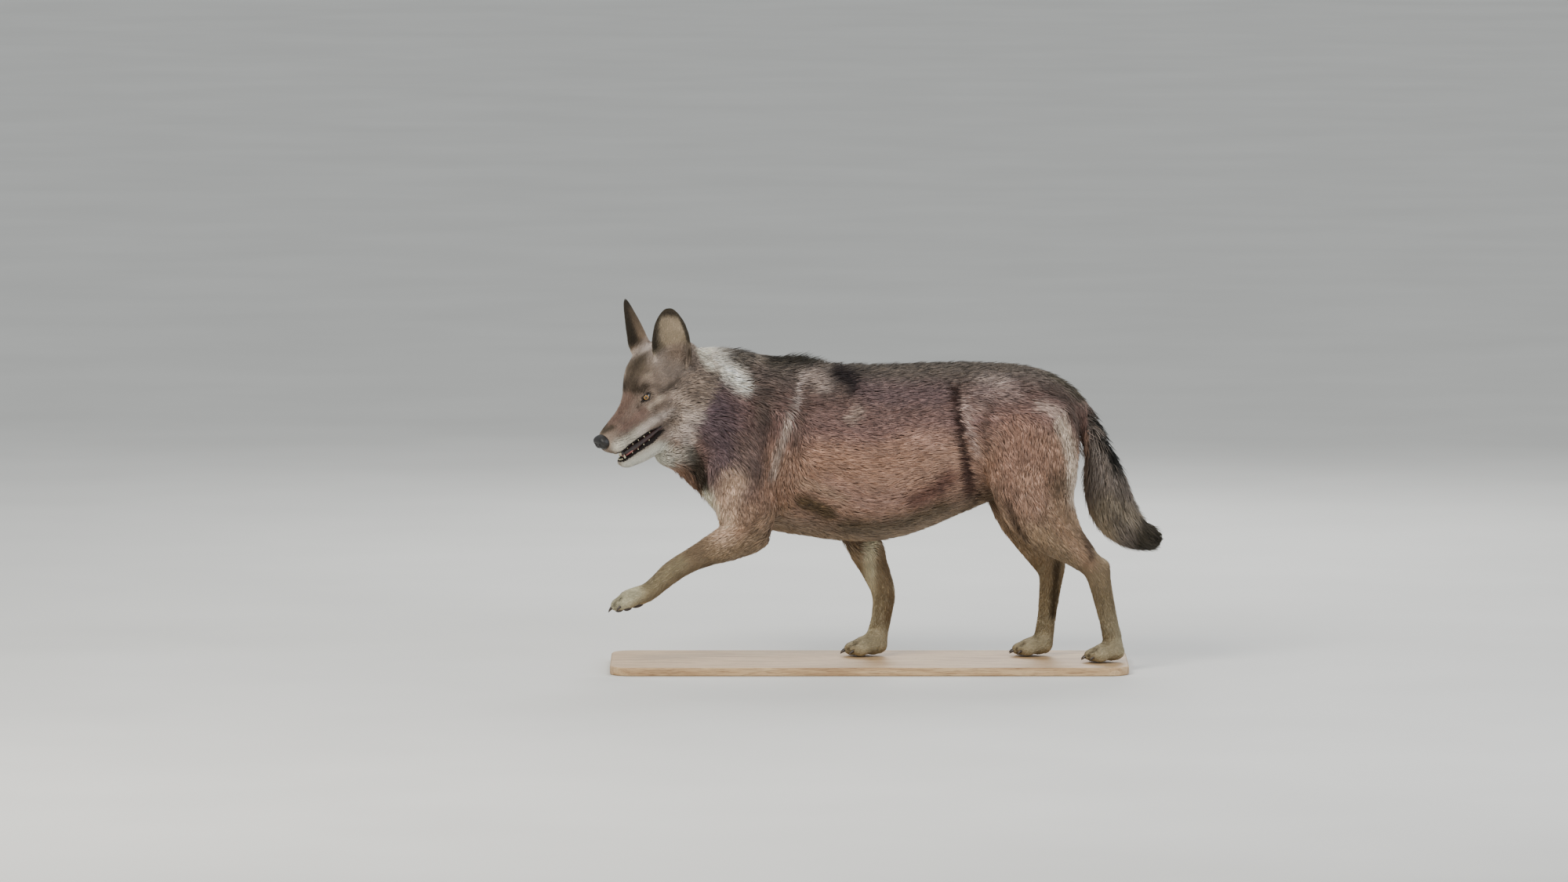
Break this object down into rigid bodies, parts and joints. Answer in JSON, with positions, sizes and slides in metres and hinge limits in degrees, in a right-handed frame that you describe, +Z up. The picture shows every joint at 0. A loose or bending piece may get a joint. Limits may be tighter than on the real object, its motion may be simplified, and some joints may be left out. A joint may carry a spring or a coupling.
{
  "type": "grey wolf model, trotting, on a display base",
  "caption": "Life-size still model of a grey wolf in a trot, head lowered and turned to its left, one forepaw lifted, tail hanging, on a plain flat base.",
  "frame": {"origin": "on the floor, below the middle of the whole model's box", "axes": "+Z up, the wolf walks towards -X, its left side faces -Y"},
  "size_m": [1.2172, 0.36, 0.7904],
  "materials": {
    "coat": "dry, coarse fur in grey, tan, black and cream",
    "dark_coat": "long dark fur",
    "eye": "wet amber eye",
    "nose_leather": "damp, pebbled black",
    "base_board": "flat pale grey paint"
  },
  "bodies": {
    "root": {"head": "coat", "lower_jaw": "coat", "neck": "coat", "trunk": "coat", "tail": "dark_coat", "foreleg_left": "coat", "foreleg_right": "coat", "hindleg_left": "coat", "hindleg_right": "coat", "ear_left": "coat", "ear_right": "coat", "eye_left": "eye", "eye_right": "eye", "nose": "nose_leather", "stand_base": "base_board"}
  },
  "joints": []
}
